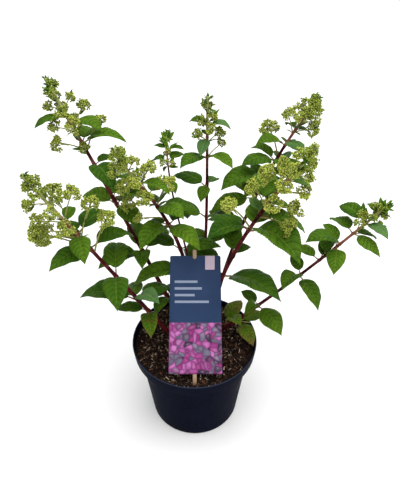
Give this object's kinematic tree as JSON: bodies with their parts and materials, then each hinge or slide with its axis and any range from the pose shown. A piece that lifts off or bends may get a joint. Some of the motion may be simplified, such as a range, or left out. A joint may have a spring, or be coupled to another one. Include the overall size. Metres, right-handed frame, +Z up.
{
  "type": "potted panicle hydrangea",
  "caption": "Flowering shrub with opposite pointed leaves and cone-shaped heads of buds on long canes, in a tapered plastic pot with a label on a stick.",
  "frame": {"origin": "centre of the pot's flat underside", "axes": "+Z up, -Y towards the front with the label, +X to the right in a front view"},
  "size_m": [0.4543, 0.2436, 0.5252],
  "materials": {
    "pot": "matte, near black with a blue cast",
    "soil": "rough dark compost",
    "label": "satin printed card",
    "stick": "bare pale wood",
    "old_wood": "rough brown bark",
    "bark": "smooth dark red bark",
    "foliage": "green leaves",
    "blossom": "yellow-green buds"
  },
  "bodies": {
    "root": {"pot": "pot", "soil": "soil", "label_card": "label", "label_stick": "stick", "crown": "old_wood", "limb_left_low": "bark", "leaves_left_low": "foliage", "blossom_left_low": "blossom", "limb_left_high": "bark", "leaves_left_high": "foliage", "blossom_left_high": "blossom", "limb_front_left": "bark", "leaves_front_left": "foliage", "blossom_front_left": "blossom", "limb_back_small": "bark", "leaves_back_small": "foliage", "blossom_back_small": "blossom", "limb_middle": "bark", "leaves_middle": "foliage", "blossom_middle": "blossom", "limb_right_high": "bark", "leaves_right_high": "foliage", "blossom_right_high": "blossom", "limb_front_right": "bark", "leaves_front_right": "foliage", "blossom_front_right": "blossom", "limb_right_low": "bark", "leaves_right_low": "foliage", "blossom_right_low": "blossom", "leaves_low_shoot": "foliage"}
  },
  "joints": []
}
